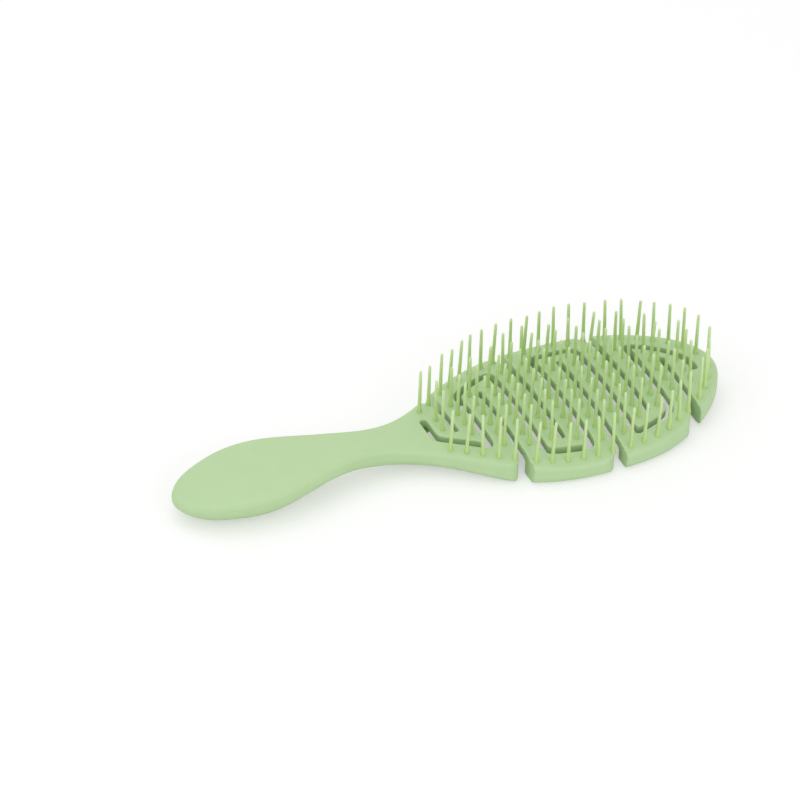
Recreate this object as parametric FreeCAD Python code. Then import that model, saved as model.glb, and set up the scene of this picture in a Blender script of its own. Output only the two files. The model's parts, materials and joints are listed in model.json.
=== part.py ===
"""Detangling hair brush with a slotted, flexing head.

Lengths are in millimetres. The brush lies on its back: +X runs along the
brush to the tip of the head, +Y is its left side and +Z is up, the way the
pins point. The origin is under the middle of the brush, on the plane that it
rests on.

A slot that winds from side to side cuts the head into two ribbons. Each
ribbon is a chain of cross bars. Two neighbouring bars make a tongue, and a
short web at the tongue's end joins them: there the head bends. At the other
end each bar runs into a petal of the rim.
"""
import FreeCAD, Part
import math
import os
from FreeCAD import Vector

# Outline, seen from above
HANDLE_LENGTH = 110.0
HEAD_LENGTH = 125.0
HANDLE_WIDTH = 37.2
NECK_WIDTH = 16.6
HEAD_WIDTH = 77.0

# Section, seen along the brush
CREST_HEIGHT = 12.0
CROWN_RADIUS = 160.0
FACE_ROUND = 1.6
BACK_ROUND = 3.0
BACK_LIFT = 4.0
BACK_LIFT_RUN = 38.0

# Back of the handle: a flat to rest on, rounded sides, an upturned end
HANDLE_LAND = 8.0
LAND_CUT = 0.05
HANDLE_SIDE = 0.4
END_LIFT = 5.0
END_LIFT_RUN = 18.0
NECK_BLEND = 45.0

# The handle's side view: it rises behind the head and its face falls again towards the end
NECK_RISE = 4.0
RISE_SHARE = 0.38
FALL_START = 0.55
END_DROP = 2.0
BELLY_START = 0.42
BELLY_SHARE = 0.28

# Slots, rim and bars
LAST_SLOT = 12
TIP_LENGTH = 9.8
WINDING_SLOT = 3.0
HINGE_SLOT = 2.4
RIM_WIDTH = 8.0
BAR_THICKNESS = 4.0
BAR_EDGE_BEVEL = 0.4
TONGUE_ROUND = 2.0
WEB_LENGTH = 6.0
MOUTH_ROUND = 4.5
MOUTH_BREAK = 0.6

# Pins
PIN_LENGTH = 20.0
PIN_BASE_RADIUS = 0.8
PIN_TIP_RADIUS = 0.6
PIN_FOOT_RADIUS = 1.2
PIN_FOOT_HEIGHT = 0.9
PIN_ROOT_RADIUS = 0.9
PIN_ROOT_DEPTH = 2.4
PIN_PITCH = 6.4
PIN_END_MARGIN = 2.6

# Half outline: share of the handle's or the head's length from the neck slot,
# and share of that stretch's widest half width
HANDLE_STATIONS = [(0.955, 0.52), (0.865, 0.81), (0.73, 1.0), (0.585, 0.93), (0.41, 0.62)]
NECK_STATION = 0.227
FLARE_STATIONS = [(-0.08, 0.30), (0.0, 0.427), (0.112, 0.65), (0.232, 0.855)]
HEAD_STATIONS = [(0.384, 0.985), (0.536, 1.0), (0.688, 0.937), (0.84, 0.71), (0.936, 0.45)]

# Points that carry an inset of the outline, and steps of a quarter round
INSET_POINTS = 26
QUARTER_STEPS = 4

# Sections through the handle, and how strongly they crowd towards its end
HANDLE_SECTIONS = 18
SECTION_CROWDING = 2.5

# Least share of its length that an edge of the handle runs along X, for its roundings
LEAST_ALONG = 0.6

# How near a point lies to a face that it is taken to be on
TOUCHING = 0.001

NECK_SLOT_X = (HANDLE_LENGTH - HEAD_LENGTH) / 2
HANDLE_END_X = NECK_SLOT_X - HANDLE_LENGTH
TIP_X = NECK_SLOT_X + HEAD_LENGTH
FRAME_START_X = NECK_SLOT_X - WINDING_SLOT / 2
SLOT_PITCH = (HEAD_LENGTH - TIP_LENGTH) / LAST_SLOT
TONGUE_INSET = RIM_WIDTH + WINDING_SLOT
PIN_LINE_INSET = RIM_WIDTH / 2

# How far a cutting shape runs past what it cuts
OVERCUT = CREST_HEIGHT

RIGHT = -1
LEFT = 1
SIDE_NAMES = {RIGHT: "right", LEFT: "left"}
MOUTH_SLOTS = {RIGHT: [3, 7, 11], LEFT: [1, 5, 9]}
RIM_NAMES = ["shoulder", "petal_1", "petal_2", "tip"]


def slot_x(index):
    """Centre line of a cross slot, counted from the neck slot."""
    return NECK_SLOT_X + index * SLOT_PITCH


def slot_width(index):
    """Odd slots lie inside a tongue, even ones are runs of the winding slot."""
    return HINGE_SLOT if index % 2 else WINDING_SLOT


def tongue_side(slot):
    """The side that the tongue round an odd slot points to."""
    return LEFT if slot in MOUTH_SLOTS[RIGHT] else RIGHT


def crown_z(y):
    """Height of the crowned face above the rest plane."""
    return CREST_HEIGHT - CROWN_RADIUS + math.sqrt(CROWN_RADIUS ** 2 - y ** 2)


def mirrored(point):
    """The same point on the other side of the brush."""
    return Vector(point.x, -point.y, point.z)


def outline_stations():
    """Points of the right half of the outline, from handle end to tip."""
    points = [Vector(HANDLE_END_X, 0, 0)]
    for share, width in HANDLE_STATIONS:
        points.append(Vector(NECK_SLOT_X - share * HANDLE_LENGTH, -width * HANDLE_WIDTH / 2, 0))
    points.append(Vector(NECK_SLOT_X - NECK_STATION * HANDLE_LENGTH, -NECK_WIDTH / 2, 0))
    for share, width in FLARE_STATIONS + HEAD_STATIONS:
        points.append(Vector(NECK_SLOT_X + share * HEAD_LENGTH, -width * HEAD_WIDTH / 2, 0))
    points.append(Vector(TIP_X, 0, 0))
    return points


def outline_curve():
    """The closed outline, the same on both sides."""
    right = outline_stations()
    left = [mirrored(point) for point in reversed(right[1:-1])]
    curve = Part.BSplineCurve()
    curve.interpolate(Points=right + left, PeriodicFlag=True)
    return curve


STATIONS = outline_stations()
NECK_POINT = STATIONS[len(HANDLE_STATIONS) + 1]
WIDEST_POINT = min(STATIONS, key=lambda point: point.y)
OUTLINE = outline_curve()
NECK_PARAMETER = OUTLINE.parameter(NECK_POINT)
TIP_PARAMETER = OUTLINE.parameter(STATIONS[-1])


def outline_face():
    """The outline as a plan face, its edge split at neck, widest point and tip."""
    right = [OUTLINE.parameter(point) for point in (NECK_POINT, WIDEST_POINT, STATIONS[-1])]
    left = [OUTLINE.parameter(mirrored(point)) for point in (WIDEST_POINT, NECK_POINT)]
    ends = [OUTLINE.FirstParameter] + right + left + [OUTLINE.LastParameter]
    return Part.Face(Part.Wire([OUTLINE.toShape(*span) for span in zip(ends, ends[1:])]))


def outward(parameter):
    """Direction square to the right half of the outline, away from the brush."""
    along = OUTLINE.tangent(parameter)[0]
    return Vector(along.y, -along.x, 0)


def inset_point(parameter, distance):
    """A point at a distance inside the right half of the outline."""
    return OUTLINE.value(parameter) - outward(parameter) * distance


def inset_parameter(x, distance, start=NECK_PARAMETER):
    """Where the inset of the right half, from a start to the tip, crosses a station."""
    low, high = start, TIP_PARAMETER
    for _ in range(60):
        middle = (low + high) / 2
        if inset_point(middle, distance).x < x:
            low = middle
        else:
            high = middle
    return (low + high) / 2


def inset_half_width(x, distance):
    """Half width of the inset region at a station of the head."""
    return -inset_point(inset_parameter(x, distance), distance).y


def upright(face):
    """A plan face as a prism that passes through the whole brush."""
    face = face.copy()
    face.translate(Vector(0, 0, -OVERCUT))
    return face.extrude(Vector(0, 0, CREST_HEIGHT + 2 * OVERCUT))


def inset_prism(distance):
    """The region inside the head's rim, from the neck slot towards the tip."""
    first = inset_parameter(FRAME_START_X, distance)
    step = (TIP_PARAMETER - first) / INSET_POINTS
    right = [inset_point(first + number * step, distance) for number in range(INSET_POINTS)]
    left = [mirrored(point) for point in reversed(right)]
    curve = Part.BSplineCurve()
    curve.interpolate(right + [Vector(TIP_X - distance, 0, 0)] + left)
    closing = Part.LineSegment(left[-1], right[0]).toShape()
    return upright(Part.Face(Part.Wire([curve.toShape(), closing])))


def side_box(side, x_range):
    """All of the brush on one side of its middle plane, over a stretch of X."""
    corner = Vector(x_range[0], min(0, side * HEAD_WIDTH), -OVERCUT)
    return Part.makeBox(x_range[1] - x_range[0], HEAD_WIDTH, CREST_HEIGHT + 2 * OVERCUT, corner)


def under_crown(depth):
    """The space below the crowned face, lowered by a depth."""
    axis = Vector(HANDLE_END_X - OVERCUT, 0, CREST_HEIGHT - CROWN_RADIUS)
    length = HANDLE_LENGTH + HEAD_LENGTH + 2 * OVERCUT
    cylinder = Part.makeCylinder(CROWN_RADIUS - depth, length, axis, Vector(1, 0, 0))
    cylinder.rotate(axis, Vector(1, 0, 0), 180)
    return cylinder


def back_lift_cutter():
    """What the back leaves out below its upturned end, tangent to the rest plane."""
    start = TIP_X - BACK_LIFT_RUN
    end = TIP_X + OVERCUT
    radius = (BACK_LIFT_RUN ** 2 + BACK_LIFT ** 2) / (2 * BACK_LIFT)

    def lifted(x):
        return Vector(x, -HEAD_WIDTH, radius - math.sqrt(radius ** 2 - (x - start) ** 2))

    below = [Vector(x, -HEAD_WIDTH, -OVERCUT) for x in (end, start)]
    corners = [lifted(end)] + below + [lifted(start)]
    sides = [Part.LineSegment(*pair).toShape() for pair in zip(corners, corners[1:])]
    arc = Part.Arc(lifted(start), lifted((start + end) / 2), lifted(end)).toShape()
    return Part.Face(Part.Wire([arc] + sides)).extrude(Vector(0, 2 * HEAD_WIDTH, 0))


def rounded_slab():
    """The whole brush without slots and pins: crowned face and rounded edges."""
    slab = outline_face().extrude(Vector(0, 0, CREST_HEIGHT + OVERCUT))
    slab = slab.cut(back_lift_cutter()).common(under_crown(0))
    middle_height = crown_z(HEAD_WIDTH / 2) / 2 + BACK_LIFT / 4
    flat = [edge for edge in slab.Edges if edge.BoundBox.XLength > BACK_ROUND]
    back = [edge for edge in flat if edge.BoundBox.ZMin < middle_height]
    slab = slab.makeFillet(BACK_ROUND, back)
    face = [edge for edge in slab.Edges if edge.BoundBox.XLength > BACK_ROUND and lies_on_crown(edge)]
    return slab.makeFillet(FACE_ROUND, face)


def lies_on_crown(edge):
    """Whether an edge bounds the crowned face."""
    points = edge.discretize(5)
    return all(abs(point.z - crown_z(point.y)) < TOUCHING for point in points)


def quarter_round(x, centre, half_axes, first_angle):
    """A quarter of an ellipse in the section at X, turning clockwise."""
    points = []
    for step in range(QUARTER_STEPS + 1):
        angle = math.radians(first_angle - 90 * step / QUARTER_STEPS)
        y = centre[0] + half_axes[0] * math.cos(angle)
        z = centre[1] + half_axes[1] * math.sin(angle)
        points.append(Vector(x, y, z))
    curve = Part.BSplineCurve()
    curve.interpolate(points)
    return curve.toShape()


def eased(share):
    """Ease from 0 to 1 with level ends."""
    share = min(max(share, 0), 1)
    return share ** 2 * (3 - 2 * share)


def handle_rise(x):
    """How far the handle's face and its back lie above the head's, at a station."""
    from_head = (FRAME_START_X - x) / (FRAME_START_X - HANDLE_END_X)
    rise = NECK_RISE * eased(from_head / RISE_SHARE)
    fall = max(0, (from_head - FALL_START) / (1 - FALL_START)) ** 2
    back = rise * (1 - eased((from_head - BELLY_START) / BELLY_SHARE))
    return rise - (NECK_RISE + END_DROP) * fall, back


def handle_section(x):
    """Section of the handle: the crowned face, short sides and a rounded back."""
    parameter = inset_parameter(x, 0, OUTLINE.FirstParameter)
    half_width = -OUTLINE.value(parameter).y
    along = max(OUTLINE.tangent(parameter)[0].x, LEAST_ALONG)
    to_end = max(0, 1 - (x - HANDLE_END_X) / END_LIFT_RUN)
    blend = eased(1 - (FRAME_START_X - x) / NECK_BLEND)
    face_rise, back_rise = handle_rise(x)
    floor = END_LIFT * (1 - math.sqrt(1 - to_end ** 2)) - LAND_CUT + back_rise
    face_y = min(FACE_ROUND / along, half_width / 2)
    shoulder_y = half_width - face_y
    side_top = crown_z(shoulder_y) + face_rise - FACE_ROUND
    land = min(HANDLE_LAND, half_width) / 2
    back_y = (1 - blend) * (half_width - land) + blend * BACK_ROUND / along
    back_z = (1 - blend) * (side_top - floor - HANDLE_SIDE) + blend * BACK_ROUND
    flat_y = half_width - back_y
    side_foot = floor + back_z
    crown = [Vector(x, y, crown_z(y) + face_rise) for y in (-shoulder_y, 0, shoulder_y)]
    left_side = [Vector(x, half_width, z) for z in (side_top, side_foot)]
    back = [Vector(x, y, floor) for y in (flat_y, -flat_y)]
    right_side = [Vector(x, -half_width, z) for z in (side_foot, side_top)]
    return Part.Wire([
        Part.Arc(*crown).toShape(),
        quarter_round(x, (shoulder_y, side_top), (face_y, FACE_ROUND), 90),
        Part.LineSegment(*left_side).toShape(),
        quarter_round(x, (flat_y, side_foot), (back_y, back_z), 0),
        Part.LineSegment(*back).toShape(),
        quarter_round(x, (-flat_y, side_foot), (back_y, back_z), -90),
        Part.LineSegment(*right_side).toShape(),
        quarter_round(x, (-shoulder_y, side_top), (face_y, FACE_ROUND), 180),
    ])


def handle():
    """The handle, lofted through sections that crowd towards its round end."""
    sections = []
    for number in range(1, HANDLE_SECTIONS + 1):
        share = (number / HANDLE_SECTIONS) ** SECTION_CROWDING
        sections.append(handle_section(HANDLE_END_X + share * (FRAME_START_X - HANDLE_END_X)))
    below = Part.makeBox(
        HANDLE_LENGTH + OVERCUT, 2 * HANDLE_WIDTH, OVERCUT,
        Vector(HANDLE_END_X - OVERCUT, -HANDLE_WIDTH, -OVERCUT))
    return Part.makeLoft(sections, True).cut(below)


def mouth_corner(x, inwards, radius):
    """Rounding where the rim's outline meets a slit: slit end, middle and outline end."""
    parameter = inset_parameter(x, 0)
    point, normal = OUTLINE.value(parameter), outward(parameter)
    centre = Vector(x + inwards * radius, 0, 0)
    centre.y = point.y - (radius + (centre.x - point.x) * normal.x) / normal.y
    to_slit = Vector(-inwards, 0, 0)
    bisector = (to_slit + normal).normalize()
    return [centre + to_slit * radius, centre + bisector * radius, centre + normal * radius], normal


def slit_cutter(side, slot):
    """The open end of an odd slot, through the rim, with its mouth eased."""
    low, high = slot_x(slot) - HINGE_SLOT / 2, slot_x(slot) + HINGE_SLOT / 2
    near, near_normal = mouth_corner(low, -1, MOUTH_ROUND)
    far, far_normal = mouth_corner(high, 1, MOUTH_BREAK)
    outside = [near[2] + near_normal * OVERCUT, far[2] + far_normal * OVERCUT]
    path = [near[2]] + outside + [far[2]]
    inner = [far[0], Vector(high, 0, 0), Vector(low, 0, 0), near[0]]
    edges = [Part.Arc(*near).toShape()]
    edges += [Part.LineSegment(*pair).toShape() for pair in zip(path, path[1:])]
    edges += [Part.Arc(*reversed(far)).toShape()]
    edges += [Part.LineSegment(*pair).toShape() for pair in zip(inner, inner[1:])]
    cutter = upright(Part.Face(Part.Wire(edges)))
    if side == LEFT:
        cutter = cutter.mirror(Vector(0, 0, 0), Vector(0, 1, 0))
    return cutter


def rim_pieces(slab, pocket):
    """Shoulders, petals and tip halves of the rim, by name, with their stretch of X."""
    pieces = {}
    rim = slab.cut(pocket)
    for side, mouths in MOUTH_SLOTS.items():
        ends = [FRAME_START_X] + [slot_x(slot) for slot in mouths] + [TIP_X + OVERCUT]
        slits = [slit_cutter(side, slot) for slot in mouths]
        for name, x_range in zip(RIM_NAMES, zip(ends, ends[1:])):
            piece = rim.common(side_box(side, x_range)).cut(slits)
            pieces[SIDE_NAMES[side] + "_" + name] = (piece, side, x_range)
    return pieces


def bar_span(index):
    """Right and left ends of a bar on its centre line."""
    tongue = index if index % 2 else index + 1
    middle = slot_x(index + 0.5)
    insets = {tongue_side(tongue): TONGUE_INSET, -tongue_side(tongue): RIM_WIDTH}
    return -inset_half_width(middle, insets[RIGHT]), inset_half_width(middle, insets[LEFT])


def edge_cutter(x, inwards):
    """What the bevel along a bar's upper edge leaves out, a ring about the crown's axis."""
    reach = OVERCUT / 2
    high = CREST_HEIGHT + reach
    corners = [
        Vector(x + inwards * (BAR_EDGE_BEVEL + reach), 0, high),
        Vector(x - inwards * reach, 0, high),
        Vector(x - inwards * reach, 0, CREST_HEIGHT - BAR_EDGE_BEVEL - reach),
    ]
    edges = [Part.LineSegment(*pair).toShape() for pair in zip(corners, corners[1:] + corners[:1])]
    axis = Vector(x, 0, CREST_HEIGHT - CROWN_RADIUS)
    ring = Part.Face(Part.Wire(edges)).revolve(axis, Vector(1, 0, 0), 360)
    ring.rotate(axis, Vector(1, 0, 0), 180)
    return ring


def bar(index, pocket, tongues, shell):
    """The cross bar between a slot and the next one."""
    tongue = index if index % 2 else index + 1
    side = tongue_side(tongue)
    x_range = (slot_x(index) + slot_width(index) / 2, slot_x(index + 1) - slot_width(index + 1) / 2)
    free_half = tongues.common(side_box(side, x_range))
    joined_half = pocket.common(side_box(-side, x_range))
    prism = free_half.fuse(joined_half).removeSplitter()
    outer_x = x_range[0] if index < tongue else x_range[1]
    corners = [
        edge for edge in prism.Edges
        if edge.BoundBox.ZLength > OVERCUT
        and abs(edge.BoundBox.XMin - outer_x) < TOUCHING
        and edge.BoundBox.YMin * side > TONGUE_ROUND
    ]
    if corners:
        prism = prism.makeFillet(TONGUE_ROUND, corners)
    return prism.common(shell).cut([edge_cutter(x_range[0], 1), edge_cutter(x_range[1], -1)])


def hinge_web(slot, tongues, shell):
    """The short bridge across an odd slot at its tongue's end."""
    side = tongue_side(slot)
    low, high = slot_x(slot) - HINGE_SLOT / 2, slot_x(slot) + HINGE_SLOT / 2
    slot_end = side * (inset_half_width(slot_x(slot), TONGUE_INSET) - WEB_LENGTH)
    block = Part.makeBox(
        HINGE_SLOT, HEAD_WIDTH, CREST_HEIGHT + 2 * OVERCUT,
        Vector(low, slot_end if side == LEFT else slot_end - HEAD_WIDTH, -OVERCUT))
    round_end = Part.makeCylinder(
        (high - low) / 2, CREST_HEIGHT + 2 * OVERCUT, Vector(slot_x(slot), slot_end, -OVERCUT))
    return tongues.common(block).common(shell).cut(round_end)


def pin():
    """One pin standing on the origin, with the root that holds it."""
    tip_z = PIN_LENGTH - PIN_TIP_RADIUS
    points = [
        Vector(0, 0, -PIN_ROOT_DEPTH),
        Vector(PIN_ROOT_RADIUS, 0, -PIN_ROOT_DEPTH),
        Vector(PIN_ROOT_RADIUS, 0, 0),
        Vector(PIN_FOOT_RADIUS, 0, 0),
        Vector(PIN_BASE_RADIUS, 0, PIN_FOOT_HEIGHT),
        Vector(PIN_TIP_RADIUS, 0, tip_z),
    ]
    lean = math.radians(45)
    shoulder = Vector(PIN_TIP_RADIUS * math.cos(lean), 0, tip_z + PIN_TIP_RADIUS * math.sin(lean))
    crown = Vector(0, 0, PIN_LENGTH)
    edges = [Part.LineSegment(*pair).toShape() for pair in zip(points, points[1:])]
    edges.append(Part.Arc(points[-1], shoulder, crown).toShape())
    edges.append(Part.LineSegment(crown, points[0]).toShape())
    return Part.Face(Part.Wire(edges)).revolve(Vector(0, 0, 0), Vector(0, 0, 1), 360)


def standing_pins(places):
    """A group of pins, each one seated in the crowned face."""
    pins = []
    for x, y in places:
        solid = pin()
        solid.translate(Vector(x, y, crown_z(abs(y) + PIN_FOOT_RADIUS)))
        pins.append(solid)
    return Part.makeCompound(pins)


def spaced(low, high, pitch):
    """Evenly pitched places, centred between two ends."""
    count = int((high - low) // pitch) + 1
    first = (low + high - (count - 1) * pitch) / 2
    return [first + number * pitch for number in range(count)]


def bar_pin_places(index):
    """Pins along a bar's centre line."""
    low, high = bar_span(index)
    return [(slot_x(index + 0.5), y) for y in spaced(low + PIN_END_MARGIN, high - PIN_END_MARGIN, PIN_PITCH)]


def rim_pin_places(side, x_range):
    """Pins along the middle of a stretch of the rim."""
    low = inset_parameter(x_range[0] + PIN_END_MARGIN, PIN_LINE_INSET)
    high = inset_parameter(min(x_range[1] - PIN_END_MARGIN, TIP_X - PIN_LINE_INSET), PIN_LINE_INSET)
    steps = 200
    line = [inset_point(low + (high - low) * step / steps, PIN_LINE_INSET) for step in range(steps + 1)]
    runs = [0.0]
    for start, end in zip(line, line[1:]):
        runs.append(runs[-1] + (end - start).Length)
    end_gap = PIN_PITCH / 2 if x_range[1] > TIP_X else 0
    places = []
    for run in spaced(0, runs[-1] - end_gap, PIN_PITCH):
        point = next(point for point, reached in zip(line, runs) if reached >= run)
        places.append((point.x, -side * point.y))
    return places


def build():
    """All nodes of the brush by name."""
    slab = rounded_slab()
    pocket = inset_prism(RIM_WIDTH)
    tongues = inset_prism(TONGUE_INSET)
    shell = under_crown(0).cut(under_crown(BAR_THICKNESS))
    nodes = {"handle": handle()}
    for name, (piece, side, x_range) in rim_pieces(slab, pocket).items():
        pins = standing_pins(rim_pin_places(side, x_range))
        nodes[name + "_rim"] = piece.cut(pins)
        nodes[name + "_pins"] = pins
    for index in range(LAST_SLOT):
        name = "bar_%02d" % (index + 1)
        pins = standing_pins(bar_pin_places(index))
        nodes[name] = bar(index, pocket, tongues, shell).cut(pins)
        nodes[name + "_pins"] = pins
    for slot in sorted(MOUTH_SLOTS[RIGHT] + MOUTH_SLOTS[LEFT]):
        nodes["hinge_web_%02d" % slot] = hinge_web(slot, tongues, shell)
    return nodes


os.makedirs("parts", exist_ok=True)
for node_name, shape in build().items():
    shape.exportStep("parts/%s.step" % node_name)
    print(node_name, len(shape.Solids), round(shape.Volume, 1), shape.isValid())
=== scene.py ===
"""Looks of a detangling brush: one moulded, slotted body and the pins that stand on it.

Lengths are millimetres in the part's frame until a mesh is written, which is in metres.
The moulding is held as a field, negative inside, that joins the crowned face, the hull of
sides and back, the pocket under the bars and the slots with round edges. Its surface is
drawn once for the whole brush and then shared out to the bodies that it bends between.
"""
import json
import logging
import math
from collections.abc import Callable
from dataclasses import dataclass
from enum import Enum
from typing import ClassVar

import bmesh
import bpy
import numpy as np
from mathutils import Matrix, Vector

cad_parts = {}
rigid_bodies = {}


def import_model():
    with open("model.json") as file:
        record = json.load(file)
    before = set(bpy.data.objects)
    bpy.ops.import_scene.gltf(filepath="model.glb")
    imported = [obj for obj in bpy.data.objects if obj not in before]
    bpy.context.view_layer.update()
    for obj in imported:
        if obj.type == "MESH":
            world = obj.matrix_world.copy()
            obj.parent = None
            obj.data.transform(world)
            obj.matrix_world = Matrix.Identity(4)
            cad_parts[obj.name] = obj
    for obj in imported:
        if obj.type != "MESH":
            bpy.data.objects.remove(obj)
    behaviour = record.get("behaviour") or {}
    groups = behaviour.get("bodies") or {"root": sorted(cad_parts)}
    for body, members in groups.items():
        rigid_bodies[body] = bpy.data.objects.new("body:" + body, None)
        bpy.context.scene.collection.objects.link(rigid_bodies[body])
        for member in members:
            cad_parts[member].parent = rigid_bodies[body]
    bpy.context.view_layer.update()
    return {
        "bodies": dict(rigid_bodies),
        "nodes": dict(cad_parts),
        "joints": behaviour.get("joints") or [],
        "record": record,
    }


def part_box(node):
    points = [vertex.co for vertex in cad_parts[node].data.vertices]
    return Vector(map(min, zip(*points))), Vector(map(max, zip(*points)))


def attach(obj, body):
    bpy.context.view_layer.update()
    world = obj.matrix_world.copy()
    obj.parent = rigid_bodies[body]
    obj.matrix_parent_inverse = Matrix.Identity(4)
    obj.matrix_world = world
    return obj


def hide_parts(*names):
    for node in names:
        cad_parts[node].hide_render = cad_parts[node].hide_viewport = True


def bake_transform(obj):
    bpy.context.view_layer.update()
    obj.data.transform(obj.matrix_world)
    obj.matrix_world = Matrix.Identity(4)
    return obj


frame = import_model()

LOG = logging.getLogger("brush")
MM = 0.001
WHITE = (1.0, 1.0, 1.0, 1.0)


class Side(Enum):
    """The two sides of the brush, by the sign of Y."""

    RIGHT = -1
    LEFT = 1


@dataclass(frozen=True)
class BrushSizes:
    """Driving sizes of the brush, as its solids have them."""

    handle_length: float = 110.0
    head_length: float = 125.0
    handle_width: float = 37.2
    neck_width: float = 16.6
    head_width: float = 77.0
    crest_height: float = 12.0
    crown_radius: float = 160.0
    face_round: float = 1.6
    handle_face_round: float = 2.2
    back_round: float = 3.0
    back_lift: float = 4.0
    back_lift_run: float = 38.0
    handle_land: float = 8.0
    handle_side: float = 0.4
    neck_blend: float = 45.0
    hull_blend: float = 30.0
    neck_hollow: float = 2.5
    hollow_start: float = 70.0
    hollow_run: float = 40.0
    hollow_end: float = 32.0
    end_lift: float = 5.0
    end_lift_run: float = 18.0
    neck_rise: float = 4.0
    rise_share: float = 0.38
    fall_start: float = 0.55
    end_drop: float = 2.0
    belly_start: float = 0.42
    belly_share: float = 0.28
    last_slot: int = 12
    tip_length: float = 9.8
    winding_slot: float = 3.0
    hinge_slot: float = 2.4
    rim_width: float = 8.0
    bar_thickness: float = 4.0
    slot_edge_round: float = 0.55
    slot_corner_ease: float = 2.2
    pocket_round: float = 1.2
    web_length: float = 6.0
    mouth_round: float = 4.0
    mouth_reach: float = 12.0
    mouth_bow: float = 21.0
    mouth_break: float = 0.6

    @property
    def neck_slot_x(self) -> float:
        """Centre line of the first slot, at the neck."""
        return (self.handle_length - self.head_length) / 2

    @property
    def handle_end_x(self) -> float:
        """Free end of the handle."""
        return self.neck_slot_x - self.handle_length

    @property
    def tip_x(self) -> float:
        """Tip of the head."""
        return self.neck_slot_x + self.head_length

    @property
    def frame_start_x(self) -> float:
        """Where the handle turns into the rim."""
        return self.neck_slot_x - self.winding_slot / 2

    @property
    def slot_pitch(self) -> float:
        """Distance between neighbouring cross slots."""
        return (self.head_length - self.tip_length) / self.last_slot

    @property
    def web_ease(self) -> float:
        """Share of a web's run at each end that stays with its body."""
        return self.hinge_slot / 8

    @property
    def crown_centre(self) -> float:
        """Height of the crowned face's axis."""
        return self.crest_height - self.crown_radius

    def slot_x(self, index: float) -> float:
        """Centre line of a cross slot, counted from the neck."""
        return self.neck_slot_x + index * self.slot_pitch

    def slit_walls(self, slot: int) -> tuple[float, float]:
        """The two walls of an odd slot, along X."""
        return self.slot_x(slot) - self.hinge_slot / 2, self.slot_x(slot) + self.hinge_slot / 2


# Half outline: share of the handle's or the head's length from the neck slot,
# and share of that stretch's widest half width
HANDLE_STATIONS = ((0.955, 0.52), (0.865, 0.81), (0.73, 1.0), (0.585, 0.93), (0.41, 0.62))
NECK_STATION = 0.227
FLARE_STATIONS = ((-0.08, 0.30), (0.0, 0.427), (0.112, 0.65), (0.232, 0.855))
HEAD_STATIONS = ((0.384, 0.985), (0.536, 1.0), (0.688, 0.937), (0.84, 0.71), (0.936, 0.45))

# Odd slots that are open through the rim on each side
MOUTH_SLOTS = {Side.RIGHT: (3, 7, 11), Side.LEFT: (1, 5, 9)}
RIM_NAMES = ("shoulder", "petal_1", "petal_2", "tip")


def smooth_step(share: np.ndarray) -> np.ndarray:
    """Ease from 0 to 1 with level ends."""
    share = np.clip(share, 0, 1)
    return share * share * (3 - 2 * share)


def rounded_intersection(first: np.ndarray, second: np.ndarray, radius: np.ndarray | float) -> np.ndarray:
    """Field of what lies in two solids, with a round edge between them.

    Args:
        first: Field of one solid, negative inside.
        second: Field of the other solid.
        radius: Radius of the edge.

    Returns:
        The field of the common solid.
    """
    corner = np.hypot(np.maximum(first + radius, 0), np.maximum(second + radius, 0))
    return np.minimum(np.maximum(first, second), -radius) + corner


def distance_to_line(points: np.ndarray, line: np.ndarray) -> np.ndarray:
    """Distance of plan points to a line of many short runs.

    Args:
        points: Plan points, one a row.
        line: The line's own points, one a row.

    Returns:
        One distance for each point.
    """
    nearest = np.full(len(points), np.inf)
    for start, end in zip(line[:-1], line[1:]):
        along = end - start
        from_start = points - start
        share = np.clip(from_start @ along / (along @ along), 0, 1)
        off = from_start - share[:, None] * along
        nearest = np.minimum(nearest, np.hypot(off[:, 0], off[:, 1]))
    return nearest


def resampled(line: np.ndarray, step: float) -> np.ndarray:
    """Points at an even step along a line.

    Args:
        line: Points of the line, one a row.
        step: Distance between the new points.

    Returns:
        The new points, with both ends kept.
    """
    runs = np.concatenate([[0], np.cumsum(np.hypot(*np.diff(line, axis=0).T))])
    places = np.linspace(0, runs[-1], max(2, int(runs[-1] / step)))
    return np.column_stack([np.interp(places, runs, line[:, axis]) for axis in range(2)])


def placed(name: str, data: bpy.types.ID | None) -> bpy.types.Object:
    """A new object in the scene."""
    made = bpy.data.objects.new(name, data)
    bpy.context.scene.collection.objects.link(made)
    return made


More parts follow.
